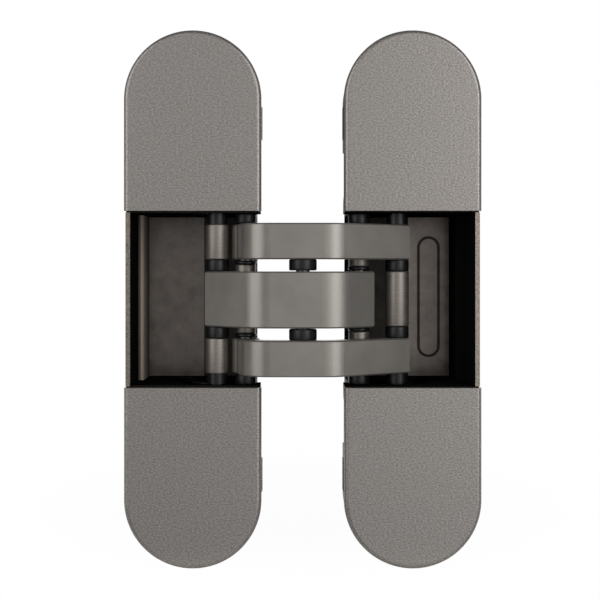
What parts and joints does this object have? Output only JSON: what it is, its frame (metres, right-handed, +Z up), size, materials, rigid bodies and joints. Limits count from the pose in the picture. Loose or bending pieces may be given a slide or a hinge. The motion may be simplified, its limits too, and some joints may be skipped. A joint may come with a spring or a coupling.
{
  "type": "concealed door hinge",
  "caption": "Concealed door hinge opened flat: two round-ended leaves with pocketed housings and push-in covers, joined by crossed bent arms that fold into the pockets when the door shuts.",
  "frame": {"origin": "centre of the bounding box with the hinge fully open", "axes": "+X from the frame leaf to the door leaf, +Y from the leaf faces back into the mortises, +Z up along the pivot pins"},
  "size_m": [0.0782, 0.0296, 0.1174],
  "materials": {
    "painted_cover": "satin grey paint with a fine grain on a zinc casting",
    "cast_housing": "black stoved zinc casting with a nickelled pocket floor",
    "satin_arm": "satin nickel grey on steel",
    "steel_sleeve": "turned satin steel",
    "steel_pin": "ground steel",
    "zinc_screw": "zinc plated steel",
    "black_washer": "black moulded plastic"
  },
  "bodies": {
    "frame_leaf": {"frame_housing": "cast_housing", "frame_plate_upper": "cast_housing", "frame_plate_lower": "cast_housing", "frame_cover_upper": "painted_cover", "frame_cover_lower": "painted_cover", "frame_clamp_screws": "zinc_screw", "frame_adjusters": "zinc_screw", "frame_pivot_pin": "steel_pin", "frame_pivot_washers": "black_washer", "frame_pivot_sleeve": "steel_sleeve"},
    "outer_arms": {"outer_arm_upper": "satin_arm", "outer_arm_lower": "satin_arm", "centre_pin": "steel_pin", "centre_washers": "black_washer", "outer_guide_pin": "steel_pin", "outer_guide_barrel": "steel_sleeve", "outer_guide_washers": "black_washer", "outer_guide_bushes": "black_washer"},
    "middle_link": {"middle_arm": "satin_arm", "middle_guide_pin": "steel_pin", "middle_guide_barrels": "steel_sleeve", "middle_guide_washers": "black_washer", "middle_guide_bushes": "black_washer"},
    "door_leaf": {"door_housing": "cast_housing", "door_plate_upper": "cast_housing", "door_plate_lower": "cast_housing", "door_cover_upper": "painted_cover", "door_cover_lower": "painted_cover", "door_clamp_screws": "zinc_screw", "door_adjusters": "zinc_screw", "door_pivot_pin": "steel_pin", "door_pivot_washers": "black_washer", "door_pivot_sleeves": "steel_sleeve"}
  },
  "joints": [
    {"name": "frame_pivot", "type": "hinge", "parent": "frame_leaf", "child": "outer_arms", "pos_m": [-0.0126, -0.00455, 0], "axis": [0, 0, -1], "range_deg": [0, 116.6]},
    {"name": "arm_crossing", "type": "hinge", "parent": "outer_arms", "child": "middle_link", "pos_m": [0, -0.01185, 0], "axis": [0, 0, -1], "range_deg": [-53.2, 0]},
    {"name": "door_pivot", "type": "hinge", "parent": "middle_link", "child": "door_leaf", "pos_m": [0.0126, -0.00455, 0], "axis": [0, 0, -1], "range_deg": [0, 116.59]}
  ],
  "couplings": [
    {"joint": "frame_pivot", "follows": "door_pivot", "ratio": 1},
    {"joint": "arm_crossing", "follows": "door_pivot", "ratio": -0.45612}
  ]
}
